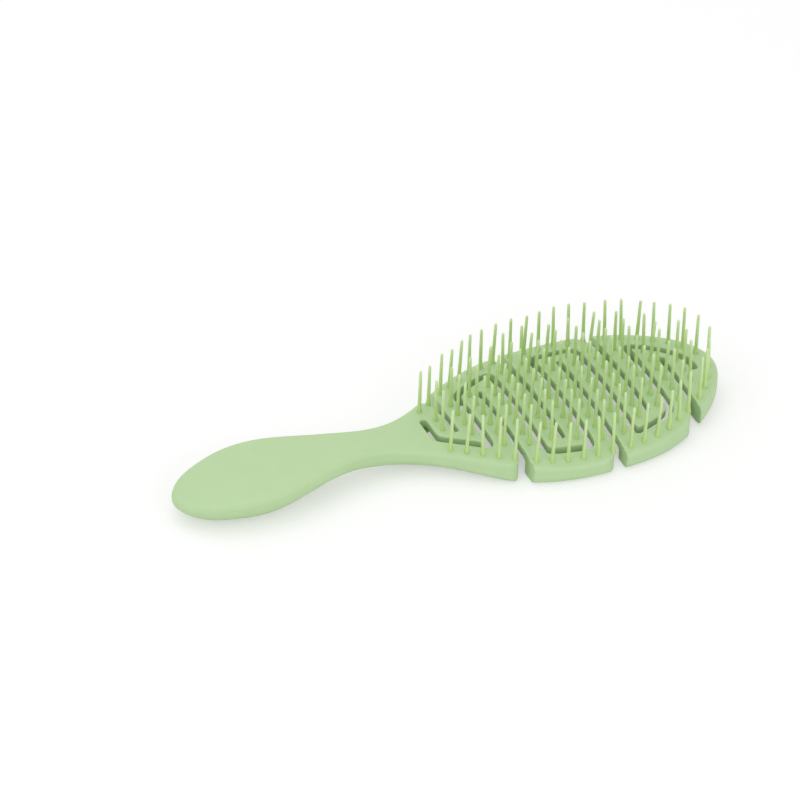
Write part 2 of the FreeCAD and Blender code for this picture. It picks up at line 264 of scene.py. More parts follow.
class Outline:
    """The left half of the closed outline, from the handle's end to the tip."""

    SAMPLES_PER_SPAN = 28

    def __init__(self, sizes: BrushSizes) -> None:
        """Draw the outline as a periodic cubic through its stations."""
        self.sizes = sizes
        self.points = self._draw(self._stations())
        self.belly_x = sizes.neck_slot_x - HANDLE_STATIONS[2][0] * sizes.handle_length

    def _stations(self) -> np.ndarray:
        """Stations of the left half, from the handle's end to the tip."""
        sizes = self.sizes
        rows = [(sizes.handle_end_x, 0.0)]
        for share, width in HANDLE_STATIONS:
            rows.append((sizes.neck_slot_x - share * sizes.handle_length, width * sizes.handle_width / 2))
        rows.append((sizes.neck_slot_x - NECK_STATION * sizes.handle_length, sizes.neck_width / 2))
        for share, width in FLARE_STATIONS + HEAD_STATIONS:
            rows.append((sizes.neck_slot_x + share * sizes.head_length, width * sizes.head_width / 2))
        rows.append((sizes.tip_x, 0.0))
        return np.array(rows)

    def _draw(self, half: np.ndarray) -> np.ndarray:
        """Sample the periodic cubic spline, spaced by chord length.

        Args:
            half: Stations of the left half.

        Returns:
            Dense points of the left half.
        """
        ring = np.vstack([half, half[-2:0:-1] * (1, -1)])
        count = len(ring)
        ahead = np.roll(ring, -1, axis=0)
        chord = np.hypot(*(ahead - ring).T)
        before = np.roll(chord, 1)
        system = np.zeros((count, count))
        rows = np.arange(count)
        system[rows, rows] = 2 * (before + chord)
        system[rows, (rows - 1) % count] = before
        system[rows, (rows + 1) % count] = chord
        slope = (ahead - ring) / chord[:, None]
        bend = np.linalg.solve(system, 6 * (slope - np.roll(slope, 1, axis=0)))
        drawn = []
        for span in range(len(half) - 1):
            run = chord[span]
            right = np.linspace(0, 1, self.SAMPLES_PER_SPAN, endpoint=False)[:, None]
            left = 1 - right
            chords = left * ring[span] + right * ring[span + 1]
            bulge = (left ** 3 - left) * bend[span] + (right ** 3 - right) * bend[span + 1]
            drawn.append(chords + run ** 2 / 6 * bulge)
        return np.vstack(drawn + [half[-1:]])

    def half_width(self, x: np.ndarray) -> np.ndarray:
        """Half width of the outline at stations along X."""
        return np.interp(x, self.points[:, 0], self.points[:, 1])

    def inset(self, distance: float) -> np.ndarray:
        """The head's part of the outline, moved inwards by a distance."""
        along = np.gradient(self.points, axis=0)
        along /= np.hypot(*along.T)[:, None]
        inwards = np.column_stack([along[:, 1], -along[:, 0]])
        moved = self.points + distance * inwards
        neck_x = self.sizes.neck_slot_x - NECK_STATION * self.sizes.handle_length
        return moved[(self.points[:, 0] > neck_x) & (moved[:, 1] >= 0)]

    def inset_half_width(self, x: float, distance: float) -> float:
        """Half width of the head's inset region at a station."""
        line = self.inset(distance)
        return float(np.interp(x, line[:, 0], line[:, 1]))


class Plan:
    """The brush seen from above: fields of its outline, slots and mouths on one grid."""

    STEP = 0.5
    MARGIN = 3.0
    PATH_STEP = 0.25
    PATH_THINNING = 2
    BELL_WIDTHS = 3
    MOUTH_DEPTH = 11.0

    def __init__(self, sizes: BrushSizes, outline: Outline) -> None:
        """Work out the three fields at every point of the grid."""
        self.sizes = sizes
        self.outline = outline
        self.low = np.array([sizes.handle_end_x, -sizes.head_width / 2]) - self.MARGIN
        high = np.array([sizes.tip_x, sizes.head_width / 2]) + self.MARGIN
        counts = np.ceil((high - self.low) / self.STEP).astype(int) + 1
        x, y = (self.low[axis] + self.STEP * np.arange(counts[axis]) for axis in range(2))
        self.x, self.y = np.meshgrid(x, y, indexing="ij")
        edge = self._outline_field()
        self.fields = np.stack([edge, self._slot_field(), self._mouth_field(edge)], axis=-1)

    def _on_grid(self, line: np.ndarray, y: np.ndarray) -> np.ndarray:
        """Distance of each grid point to a line."""
        points = np.column_stack([self.x.ravel(), y.ravel()])
        return distance_to_line(points, line).reshape(self.x.shape)

    def _outline_field(self) -> np.ndarray:
        """Distance to the outline, negative inside it."""
        sizes = self.sizes
        distance = self._on_grid(self.outline.points, np.abs(self.y))
        inside = np.abs(self.y) < self.outline.half_width(self.x)
        inside &= (self.x > sizes.handle_end_x) & (self.x < sizes.tip_x)
        return np.where(inside, -distance, distance)

    def _winding_path(self) -> np.ndarray:
        """Middle line of the winding slot, with its corners eased.

        Returns:
            Points from the neck slot to the last slot.
        """
        sizes = self.sizes
        inset = sizes.rim_width + sizes.winding_slot / 2
        line = self.outline.inset(inset)
        reach = self.outline.inset_half_width
        side = Side.RIGHT.value
        path = [np.array([[sizes.slot_x(0), -side * reach(sizes.slot_x(0), inset)]])]
        for slot in range(0, sizes.last_slot, 2):
            start, end = sizes.slot_x(slot), sizes.slot_x(slot + 2)
            between = line[(line[:, 0] > start) & (line[:, 0] < end)]
            corners = [[[x, reach(x, inset)]] for x in (start, end)]
            path.append(np.vstack([corners[0], between, corners[1]]) * (1, side))
            side = -side
        path.append(np.array([[sizes.slot_x(sizes.last_slot), side * reach(end, inset)]]))
        return self._eased(resampled(np.vstack(path), self.PATH_STEP))

    def _eased(self, path: np.ndarray) -> np.ndarray:
        """Round a path's corners by a bell-shaped average along it."""
        width = self.sizes.slot_corner_ease / self.PATH_STEP
        reach = int(self.BELL_WIDTHS * width)
        bell = np.exp(-0.5 * (np.arange(-reach, reach + 1) / width) ** 2)
        bell /= bell.sum()
        before = 2 * path[0] - path[reach:0:-1]
        after = 2 * path[-1] - path[-2:-reach - 2:-1]
        padded = np.vstack([before, path, after])
        columns = [np.convolve(padded[:, axis], bell, mode="valid") for axis in range(2)]
        return np.column_stack(columns)[::self.PATH_THINNING]

    def slot_end(self, slot: int) -> float:
        """Where an odd slot ends inside its tongue, along Y."""
        sizes = self.sizes
        inset = sizes.rim_width + sizes.winding_slot
        side = tongue_side(slot).value
        return side * (self.outline.inset_half_width(sizes.slot_x(slot), inset) - sizes.web_length)

    def _slot_field(self) -> np.ndarray:
        """Distance to the nearest slot's wall, negative in the slot."""
        sizes = self.sizes
        field = self._on_grid(self._winding_path(), self.y) - sizes.winding_slot / 2
        for side, slots in MOUTH_SLOTS.items():
            for slot in slots:
                x = sizes.slot_x(slot)
                line = np.array([[x, side.value * sizes.head_width], [x, self.slot_end(slot)]])
                field = np.minimum(field, self._on_grid(line, self.y) - sizes.hinge_slot / 2)
        return field

    def _mouth_field(self, edge: np.ndarray) -> np.ndarray:
        """The outline again, with the rim's corners at each slit rounded off.

        Args:
            edge: Field of the plain outline.

        Returns:
            The field with rounded corners.
        """
        sizes = self.sizes
        fading = np.maximum(0, -edge - self.MOUTH_DEPTH)
        flared = np.maximum(0, sizes.mouth_reach + edge) ** 2 / (2 * sizes.mouth_bow)
        field = edge.copy()
        for side, slots in MOUTH_SLOTS.items():
            for slot in slots:
                low, high = sizes.slit_walls(slot)
                near = rounded_intersection(edge, self.x - low + flared - fading, sizes.mouth_round)
                far = rounded_intersection(edge, high - self.x - fading, sizes.mouth_break)
                cut = np.maximum(field, np.minimum(near, far))
                field = np.where(self.y * side.value > 0, cut, field)
        return field

    def at(self, x: np.ndarray, y: np.ndarray) -> tuple[np.ndarray, np.ndarray, np.ndarray]:
        """Read the fields between grid points by cubics.

        Args:
            x: Places along the brush.
            y: Places across it.

        Returns:
            Fields of the outline, the slots and the rounded mouths.
        """
        u = (x - self.low[0]) / self.STEP
        v = (y - self.low[1]) / self.STEP
        i = np.clip(np.floor(u).astype(int), 1, self.fields.shape[0] - 3)
        j = np.clip(np.floor(v).astype(int), 1, self.fields.shape[1] - 3)
        across = self._cubic_weights(v - j)
        total = 0.0
        for row, along in enumerate(self._cubic_weights(u - i)):
            for column, weight in enumerate(across):
                taps = self.fields[i + row - 1, j + column - 1]
                total = total + (along * weight)[..., None] * taps
        return total[..., 0], total[..., 1], total[..., 2]

    @staticmethod
    def _cubic_weights(share: np.ndarray) -> tuple[np.ndarray, ...]:
        """Weights of four neighbours for a smooth curve through the middle two."""
        square, cube = share ** 2, share ** 3
        return (
            square - (cube + share) / 2,
            1 + (3 * cube - 5 * square) / 2,
            2 * square + (share - 3 * cube) / 2,
            (cube - square) / 2,
        )


def tongue_side(slot: int) -> Side:
    """The side that the tongue round an odd slot points to."""
    return Side.LEFT if slot in MOUTH_SLOTS[Side.RIGHT] else Side.RIGHT


class Moulding:
    """The whole moulded body as one field."""

    def __init__(self, sizes: BrushSizes, plan: Plan) -> None:
        """Keep the sizes and the plan that the field is made from."""
        self.sizes = sizes
        self.plan = plan
        self.solid_end_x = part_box("handle")[0].x / MM

    def _rise(self, x: np.ndarray) -> tuple[np.ndarray, np.ndarray]:
        """How far the handle's face and back lie above the head's.

        Args:
            x: Places along the brush.

        Returns:
            Rise of the face and rise of the back.
        """
        sizes = self.sizes
        from_head = (sizes.frame_start_x - x) / (sizes.frame_start_x - sizes.handle_end_x)
        rise = sizes.neck_rise * smooth_step(from_head / sizes.rise_share)
        fall = np.maximum(0, (from_head - sizes.fall_start) / (1 - sizes.fall_start)) ** 2
        back = rise * (1 - smooth_step((from_head - sizes.belly_start) / sizes.belly_share))
        return rise - (sizes.neck_rise + sizes.end_drop) * fall, back

    def _floor(self, x: np.ndarray) -> np.ndarray:
        """Height of the back's lowest line, which turns up towards the tip and the end."""
        sizes = self.sizes
        radius = (sizes.back_lift_run ** 2 + sizes.back_lift ** 2) / (2 * sizes.back_lift)
        past = np.maximum(0, x - (sizes.tip_x - sizes.back_lift_run))
        to_end = np.clip(1 - (x - sizes.handle_end_x) / sizes.end_lift_run, 0, 1)
        lift = sizes.end_lift * (1 - np.sqrt(1 - to_end ** 2))
        ahead = x - sizes.frame_start_x
        hollow = smooth_step((ahead + sizes.hollow_start) / sizes.hollow_run)
        hollow *= 1 - smooth_step((ahead + sizes.hollow_run - sizes.hollow_end) / sizes.hollow_run)
        lift = lift + sizes.neck_hollow * hollow + self._rise(x)[1]
        return radius - np.sqrt(radius ** 2 - past ** 2) + lift

    def _hull(self, x: np.ndarray, inwards: np.ndarray, z: np.ndarray) -> np.ndarray:
        """Field of the sides and back, a quarter ellipse from the side to the back's flat.

        Args:
            x: Places along the brush.
            inwards: Distance inside the outline.
            z: Heights.

        Returns:
            The field, close to a distance.
        """
        sizes = self.sizes
        outline = self.plan.outline
        half_width = outline.half_width(np.maximum(x, outline.belly_x))
        to_head = smooth_step((x - sizes.frame_start_x + sizes.hull_blend) / (2 * sizes.hull_blend))
        floor = self._floor(x)
        land = np.minimum(sizes.handle_land, half_width) / 2
        side_top = sizes.crest_height + self._rise(x)[0] - sizes.handle_face_round
        across = (1 - to_head) * (half_width - land) + to_head * sizes.back_round
        upwards = (1 - to_head) * (side_top - floor - sizes.handle_side) + to_head * sizes.back_round
        u = np.maximum(across - inwards, 0) / across
        v = np.maximum(floor + upwards - z, 0) / upwards
        reach = np.hypot(u, v)
        slope = np.hypot(u / across, v / upwards)
        least = np.minimum(across, upwards) + 0 * reach
        scale = np.divide(reach, slope, out=least, where=slope > 0)
        return (reach - 1) * scale

    def field(self, x: np.ndarray, y: np.ndarray, z: np.ndarray) -> np.ndarray:
        """Value of the field, negative inside the moulding.

        Args:
            x: Places along the brush.
            y: Places across it.
            z: Heights.

        Returns:
            The field, close to a distance near the surface.
        """
        sizes = self.sizes
        edge, slot, mouth = self.plan.at(x, y)
        top = np.hypot(y, z - self._rise(x)[0] - sizes.crown_centre) - sizes.crown_radius
        on_head = smooth_step(1 - (sizes.frame_start_x - x) / sizes.neck_blend)
        face_round = sizes.handle_face_round + on_head * (sizes.face_round - sizes.handle_face_round)
        solid = rounded_intersection(self._hull(x, -edge, z), top, face_round)
        solid = np.maximum(np.maximum(solid, mouth), np.maximum(-z, self.solid_end_x - x))
        pocket = rounded_intersection(sizes.rim_width + edge, top + sizes.bar_thickness, sizes.pocket_round)
        pocket = rounded_intersection(pocket, sizes.frame_start_x - x, sizes.pocket_round)
        solid = rounded_intersection(solid, -pocket, sizes.slot_edge_round)
        return rounded_intersection(solid, -slot, sizes.slot_edge_round)


@dataclass
class Surface:
    """A drawn surface: its points, four-sided faces and the outward direction at each point."""

    points: np.ndarray
    faces: np.ndarray
    normals: np.ndarray


class SurfaceNet:
    """Draws the surface of a field as even four-sided faces that lie on it."""

    PROBE = 0.03
    RELAX_ROUNDS = 3
    SETTLE_ROUNDS = 2
    LEAST_STEEPNESS = 0.05
    LEAST_LENGTH = 1e-9
    CORNERS = np.array([(i, j, k) for i in (0, 1) for j in (0, 1) for k in (0, 1)])

    def __init__(
        self,
        field: Callable[[np.ndarray, np.ndarray, np.ndarray], np.ndarray],
        low: np.ndarray,
        high: np.ndarray,
        step: float,
    ) -> None:
        """Set the field and the box of cells that it is drawn in."""
        self.field = field
        self.low = low
        self.step = step
        self.counts = np.ceil((high - low) / step).astype(int) + 1

    def draw(self, held_x: Callable[[np.ndarray], np.ndarray]) -> Surface:
        """Find the surface, even out its faces and settle its points.

        Args:
            held_x: Gives, for each point, the X that it is held at, or not-a-number.

        Returns:
            The surface.
        """
        axes = [self.low[axis] + self.step * np.arange(self.counts[axis]) for axis in range(3)]
        grid = np.meshgrid(axes[0], axes[1], axes[2], indexing="ij", sparse=True)
        values = self.field(*grid)
        points, index = self._cell_points(values)
        faces = self._faces(values < 0, index)
        held = held_x(points)
        free = np.isnan(held)
        points[~free, 0] = held[~free]
        points, normals = self._settled(points, free)
        for _ in range(self.RELAX_ROUNDS):
            points = self._relaxed(points, faces, normals, free)
            points, normals = self._settled(points, free)
        return Surface(points, faces, normals)

    def _cell_points(self, values: np.ndarray) -> tuple[np.ndarray, np.ndarray]:
        """One point in each cell that the surface passes through.

        Args:
            values: The field at the cells' corners.

        Returns:
            The points, and the number of each cell's point or -1.
        """
        inside = values < 0
        shape = np.array(values.shape) - 1
        crowd = np.zeros(shape, int)
        for i, j, k in self.CORNERS:
            crowd += inside[i:i + shape[0], j:j + shape[1], k:k + shape[2]]
        crossed = (crowd > 0) & (crowd < len(self.CORNERS))
        cells = np.argwhere(crossed)
        index = np.full(shape, -1)
        index[crossed] = np.arange(len(cells))
        at_corner = [values[tuple((cells + corner).T)] for corner in self.CORNERS]
        total = np.zeros((len(cells), 3))
        count = np.zeros(len(cells))
        for first, start in enumerate(self.CORNERS):
            for second, end in enumerate(self.CORNERS):
                if second > first and np.abs(end - start).sum() == 1:
                    here, there = at_corner[first], at_corner[second]
                    change = (here < 0) != (there < 0)
                    share = np.divide(here, here - there, out=np.zeros_like(here), where=change)
                    total += change[:, None] * (start + share[:, None] * (end - start))
                    count += change
        return self.low + self.step * (cells + total / count[:, None]), index

    @staticmethod
    def _faces(inside: np.ndarray, index: np.ndarray) -> np.ndarray:
        """A face across each grid line that the surface cuts, pointing outwards."""
        faces = []
        for axis in range(3):
            following, last = (axis + 1) % 3, (axis + 2) % 3
            here = np.moveaxis(inside, (axis, following, last), (0, 1, 2))
            cells = np.moveaxis(index, (axis, following, last), (0, 1, 2))
            core = here[:, 1:-1, 1:-1]
            change = core[:-1] != core[1:]
            ring = [cells[:, :-1, :-1], cells[:, 1:, :-1], cells[:, 1:, 1:], cells[:, :-1, 1:]]
            quads = np.stack([corner[change] for corner in ring], axis=1)
            outwards = core[:-1][change]
            faces.append(np.where(outwards[:, None], quads, quads[:, ::-1]))
        return np.vstack(faces)

    def _slope(self, points: np.ndarray) -> tuple[np.ndarray, np.ndarray]:
        """The field and its steepest rise at each point."""
        rise = np.zeros_like(points)
        level = np.zeros(len(points))
        for axis in range(3):
            shift = np.zeros(3)
            shift[axis] = self.PROBE
            after = self.field(*(points + shift).T)
            before = self.field(*(points - shift).T)
            rise[:, axis] = (after - before) / (2 * self.PROBE)
            level += (after + before) / 6
        return level, rise

    def _settled(self, points: np.ndarray, free: np.ndarray) -> tuple[np.ndarray, np.ndarray]:
        """Move points along the field's slope until they lie on the surface.

        Args:
            points: The points to move.
            free: Which points may move along X.

        Returns:
            The settled points and their outward directions.
        """
        for _ in range(self.SETTLE_ROUNDS):
            level, rise = self._slope(points)
            way = rise.copy()
            way[~free, 0] = 0
            steepness = np.maximum((way ** 2).sum(axis=1), self.LEAST_STEEPNESS)
            move = np.clip(level / steepness, -self.step / 2, self.step / 2)
            points = points - move[:, None] * way
        length = np.maximum(np.linalg.norm(rise, axis=1), self.LEAST_LENGTH)
        return points, rise / length[:, None]

    @staticmethod
    def _relaxed(
        points: np.ndarray, faces: np.ndarray, normals: np.ndarray, free: np.ndarray,
    ) -> np.ndarray:
        """Slide points along the surface towards the middle of their neighbours."""
        total = np.zeros_like(points)
        count = np.zeros(len(points))
        for corner in range(4):
            here, there = faces[:, corner], faces[:, (corner + 1) % 4]
            for start, end in ((here, there), (there, here)):
                count += np.bincount(start, minlength=len(points))
                for axis in range(3):
                    total[:, axis] += np.bincount(start, points[end, axis], minlength=len(points))
        drift = total / np.maximum(count, 1)[:, None] - points
        drift -= (drift * normals).sum(axis=1)[:, None] * normals
        drift[~free, 0] = 0
        return points + drift / 2


class BodyShares:
    """Says which body of the frame each place of the moulding belongs to."""

    TOUCHING = 1e-6

    def __init__(self, sizes: BrushSizes, plan: Plan) -> None:
        """Number the bodies and look up who owns each bar and stretch of rim."""
        self.sizes = sizes
        self.plan = plan
        self.groups = frame["record"]["behaviour"]["bodies"]
        self.names = list(self.groups)
        self.owner = {node: self.names.index(body) for body in self.names for node in self.groups[body]}
        self.bars = np.array([self.owner[f"bar_{number + 1:02d}"] for number in range(sizes.last_slot)])

    def body_at(self, x: np.ndarray, y: np.ndarray) -> np.ndarray:
        """Number of the body at plan places outside the webs."""
        sizes = self.sizes
        index = np.floor((x - sizes.neck_slot_x) / sizes.slot_pitch).astype(int)
        body = self.bars[np.clip(index, 0, sizes.last_slot - 1)]
        edge = self.plan.at(x, y)[0]
        on_rim = -edge < sizes.rim_width + sizes.winding_slot / 2
        for side, slots in MOUTH_SLOTS.items():
            rims = np.array([self.owner[f"{side.name.lower()}_{name}_rim"] for name in RIM_NAMES])
            stretch = np.searchsorted([sizes.slot_x(slot) for slot in slots], x)
            body = np.where(on_rim & (y * side.value >= 0), rims[stretch], body)
        return np.where(x < sizes.frame_start_x, self.owner["handle"], body)

    def web_at(self, x: np.ndarray, y: np.ndarray) -> np.ndarray:
        """Odd slot whose web bridges the place, or 0.

        Args:
            x: Places along the brush.
            y: Places across it.

        Returns:
            Slot numbers, 0 outside the webs.
        """
        sizes = self.sizes
        inset = sizes.rim_width + sizes.winding_slot / 2
        found = np.zeros(x.shape, int)
        for slot in range(1, sizes.last_slot, 2):
            middle, side = sizes.slot_x(slot), tongue_side(slot).value
            outer = self.plan.outline.inset_half_width(middle, inset)
            across = (y * side > self.plan.slot_end(slot) * side) & (y * side < outer)
            along = np.abs(x - middle) < sizes.hinge_slot / 2 + self.TOUCHING
            found[across & along] = slot
        return found

    def held_x(self, points: np.ndarray) -> np.ndarray:
        """X of the web's cut planes, for the points that are to lie on one."""
        sizes = self.sizes
        held = np.full(len(points), np.nan)
        for slot in range(1, sizes.last_slot, 2):
            middle = sizes.slot_x(slot)
            within = self.web_at(np.full(len(points), middle), points[:, 1]) == slot
            for plane in (*sizes.slit_walls(slot), middle):
                close = np.abs(points[:, 0] - plane) <= sizes.web_ease
                held[close & within] = plane
        return held

    def webs(self) -> dict[int, tuple[str, str]]:
        """Webs that bend at a joint, with the bodies before and after them."""
        joined = {frozenset((joint["parent"], joint["child"])) for joint in frame["joints"]}
        found = {}
        for slot in range(1, self.sizes.last_slot, 2):
            pair = tuple(self.names[self.owner[f"bar_{number:02d}"]] for number in (slot, slot + 1))
            if frozenset(pair) in joined:
                found[slot] = pair
        return found


class MouldedBody:
    """The brush's moulding as meshes: one for each body and one for each bending web."""

    CELLS_ACROSS_WEB = 4
    MARGIN_CELLS = 3

    def __init__(self, sizes: BrushSizes, material: bpy.types.Material) -> None:
        """Draw the moulding's surface.

        Args:
            sizes: Driving sizes.
            material: Finish of the moulded plastic.
        """
        self.sizes = sizes
        self.material = material
        plan = Plan(sizes, Outline(sizes))
        self.shares = BodyShares(sizes, plan)
        moulding = Moulding(sizes, plan)
        step = sizes.hinge_slot / self.CELLS_ACROSS_WEB
        margin = self.MARGIN_CELLS * step
        first_plane = sizes.slit_walls(1)[0] - step / 2
        cells = math.ceil((first_plane - sizes.handle_end_x + margin) / step)
        low = np.array([first_plane - cells * step, -sizes.head_width / 2 - margin, -margin])
        top = sizes.crest_height + sizes.neck_rise
        high = np.array([sizes.tip_x, sizes.head_width / 2, top]) + margin
        self.surface = SurfaceNet(moulding.field, low, high, step).draw(self.shares.held_x)

    def build(self) -> list[bpy.types.Object]:
        """Make the meshes and let the bodies' pieces ride on their bodies.

        Returns:
            The new objects.
        """
        sizes, shares = self.sizes, self.shares
        middles = self.surface.points[self.surface.faces].mean(axis=1)
        web = shares.web_at(middles[:, 0], middles[:, 1])
        webs = shares.webs()
        web[~np.isin(web, list(webs))] = 0
        body = np.where(web > 0, -1, shares.body_at(middles[:, 0], middles[:, 1]))
        bending = [f"hinge_web_{slot:02d}" for slot in webs]
        pieces = []
        for number, name in enumerate(shares.names):
            piece = self._mesh(f"{name}_moulding", body == number)
            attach(piece, name)
            rigid = [node for node in shares.groups[name] if "pins" not in node]
            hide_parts(*[node for node in rigid if node not in bending])
            pieces.append(piece)
        for slot, (before, after) in webs.items():
            piece = self._mesh(f"web_{slot:02d}_moulding", web == slot)
            low, high = sizes.slit_walls(slot)
            start, end = (low + sizes.web_ease) * MM, (high - sizes.web_ease) * MM
            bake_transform(piece)
            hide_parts(f"hinge_web_{slot:02d}")
            pieces.append(piece)
        return pieces

    def _mesh(self, name: str, chosen: np.ndarray) -> bpy.types.Object:
        """Part of the surface as a closed mesh object.

        Args:
            name: Name of the object.
            chosen: Which faces it takes.

        Returns:
            The object, with caps where it was cut from its neighbours.
        """
        faces = self.surface.faces[chosen]
        used, renumbered = np.unique(faces, return_inverse=True)
        mesh = bpy.data.meshes.new(name)
        rows = renumbered.reshape(-1, 4).tolist()
        mesh.from_pydata((self.surface.points[used] * MM).tolist(), [], rows)
        self._close(mesh)
        mesh.materials.append(self.material)
        self._shade(mesh, self.surface.normals[used], len(rows))
        return placed(name, mesh)

    @staticmethod
    def _close(mesh: bpy.types.Mesh) -> None:
        """Cap the planes where the mesh was cut."""
        net = bmesh.new()
        net.from_mesh(mesh)
        rims = [edge for edge in net.edges if edge.is_boundary]
        caps = bmesh.ops.holes_fill(net, edges=rims, sides=0)["faces"]
        bmesh.ops.triangulate(net, faces=caps)
        net.to_mesh(mesh)
        net.free()

    @staticmethod
    def _shade(mesh: bpy.types.Mesh, normals: np.ndarray, drawn: int) -> None:
        """Shade the drawn faces by the field's own directions, and the caps flat.

        Args:
            mesh: The mesh.
            normals: Outward direction at each point.
            drawn: Number of faces before the caps.
        """
        mesh.shade_smooth()
        corners = np.zeros(len(mesh.loops), int)
        mesh.loops.foreach_get("vertex_index", corners)
        directions = normals[corners]
        for cap in mesh.polygons[drawn:]:
            cap.use_smooth = False
            directions[cap.loop_start:cap.loop_start + cap.loop_total] = cap.normal
        mesh.normals_split_custom_set(directions.tolist())


class Signal:
    """A node's output that can be used in Python expressions."""

    def __init__(self, nodes: "NodeBench", socket: bpy.types.NodeSocket) -> None:
        """Wrap one output socket."""
        self.nodes = nodes
        self.socket = socket

    def beside(self, name: str) -> "Signal":
        """Another output of the same node."""
        return Signal(self.nodes, self.socket.node.outputs[name])

    def _math(self, operation: str, *values: "Signal | float") -> "Signal":
        """Add one Math node."""
        return self.nodes.make("ShaderNodeMath", {"operation": operation}, dict(enumerate(values)))

    def __add__(self, other: "Signal | float") -> "Signal":
        """Sum."""
        return self._math("ADD", self, other)

    __radd__ = __add__

    def __mul__(self, other: "Signal | float") -> "Signal":
        """Product."""
        return self._math("MULTIPLY", self, other)

    __rmul__ = __mul__

    def __sub__(self, other: "Signal | float") -> "Signal":
        """Difference."""
        return self._math("SUBTRACT", self, other)

    def __rsub__(self, other: float) -> "Signal":
        """Difference from a number."""
        return self._math("SUBTRACT", other, self)

    def __truediv__(self, other: "Signal | float") -> "Signal":
        """Quotient."""
        return self._math("DIVIDE", self, other)

    def __pow__(self, other: float) -> "Signal":
        """Power."""
        return self._math("POWER", self, other)

    def cosine(self) -> "Signal":
        """Cosine of an angle in radians."""
        return self._math("COSINE", self)

    def clamped(self) -> "Signal":
        """The value, kept between 0 and 1."""
        return self._math("MINIMUM", self._math("MAXIMUM", self, 0.0), 1.0)


class NodeBench:
    """Makes and wires the nodes of one tree."""

    MIX_SHARE = 0
    MIX_COLOURS = (6, 7)
    MIX_RESULT = 2

    def __init__(self, tree: bpy.types.NodeTree) -> None:
        """Start on a tree with no nodes."""
        self.tree = tree
        tree.nodes.clear()

    def make(
        self,
        kind: str,
        settings: dict | None = None,
        inputs: dict | None = None,
        output: str | int = 0,
    ) -> Signal | None:
        """Add a node.

        Args:
            kind: Blender's name of the node's type.
            settings: Properties, set first.
            inputs: Values or signals for its sockets, by name or number.
            output: Name or number of the output that is wanted.

        Returns:
            That output, or nothing for a node that ends the tree.
        """
        node = self.tree.nodes.new(kind)
        for name, value in (settings or {}).items():
            setattr(node, name, value)
        for name, value in (inputs or {}).items():
            socket = node.inputs[name]
            if isinstance(value, Signal):
                self.tree.links.new(value.socket, socket)
            else:
                socket.default_value = value
        return Signal(self, node.outputs[output]) if node.outputs else None

    def mixed(self, share: Signal, first: tuple[float, ...], second: tuple[float, ...]) -> Signal:
        """Colour between two colours."""
        inputs = {self.MIX_SHARE: share} | dict(zip(self.MIX_COLOURS, (first, second)))
        return self.make("ShaderNodeMix", {"data_type": "RGBA"}, inputs, self.MIX_RESULT)


def srgb(red: int, green: int, blue: int) -> tuple[float, float, float, float]:
    """A display colour, 0 to 255 a channel, as a linear one."""
    def linear(level: float) -> float:
        return level / 12.92 if level <= 0.04045 else ((level + 0.055) / 1.055) ** 2.4
    return linear(red / 255), linear(green / 255), linear(blue / 255), 1.0


@dataclass(frozen=True)
class PlasticFinish:
    """A moulded plastic: its colours, sheen and the grain that the tool left."""

    CLOUD_SHARE: ClassVar[float] = 0.7
    FLECK_SHARE: ClassVar[float] = 0.3
    FLECK_GRAINS: ClassVar[float] = 6
    CLOUD_DETAIL: ClassVar[float] = 3.0
    FLECK_DETAIL: ClassVar[float] = 2.0
    GRAIN_DETAIL: ClassVar[float] = 4.0
    BUMP_HEIGHT: ClassVar[float] = 0.2
    REFRACTION: ClassVar[float] = 1.47
    GLOW_BY_COLOUR: ClassVar[tuple[float, float, float]] = (1.0, 1.0, 0.7)

    name: str
    colour: tuple[float, float, float, float]
    deep_colour: tuple[float, float, float, float]
    roughness: float
    roughness_spread: float
    glow: float
    glow_reach: float
    grain: float
    grain_size: float
    cloud_size: float

    def material(self) -> bpy.types.Material:
        """Build the finish as a node material.

        Returns:
            The material.
        """
        made = bpy.data.materials.new(self.name)
        made.use_nodes = True
        bench = NodeBench(made.node_tree)
        place = bench.make("ShaderNodeTexCoord", output="Object")
        cloud = self._noise(bench, place, self.cloud_size, self.CLOUD_DETAIL)
        fleck = self._noise(bench, place, self.grain_size * self.FLECK_GRAINS, self.FLECK_DETAIL)
        grain = self._noise(bench, place, self.grain_size, self.GRAIN_DETAIL)
        tone = self.tone(bench, place, cloud * self.CLOUD_SHARE + fleck * self.FLECK_SHARE)
        colour = bench.mixed(tone, self.deep_colour, self.colour)
        roughness = self.roughness + (cloud + grain - 1.0) * self.roughness_spread
        bump = bench.make(
            "ShaderNodeBump", None,
            {"Strength": self.grain, "Distance": self.BUMP_HEIGHT * MM, "Height": grain})
        shader = bench.make("ShaderNodeBsdfPrincipled", {"subsurface_method": "BURLEY"}, {
            "Base Color": colour,
            "Roughness": roughness,
            "Normal": bump,
            "IOR": self.REFRACTION,
            "Subsurface Weight": self.glow,
            "Subsurface Radius": self.GLOW_BY_COLOUR,
            "Subsurface Scale": self.glow_reach * MM,
        })
        bench.make("ShaderNodeOutputMaterial", None, {"Surface": shader})
        return made

    def tone(self, bench: NodeBench, place: Signal, clouding: Signal) -> Signal:
        """Share of the paler colour, which only clouds a little from place to place."""
        return clouding.clamped()

    @staticmethod
    def _noise(bench: NodeBench, place: Signal, size: float, detail: float) -> Signal:
        """Noise whose features are about a size in millimetres."""
        inputs = {"Vector": place, "Scale": 1 / (size * MM), "Detail": detail}
        return bench.make("ShaderNodeTexNoise", None, inputs)


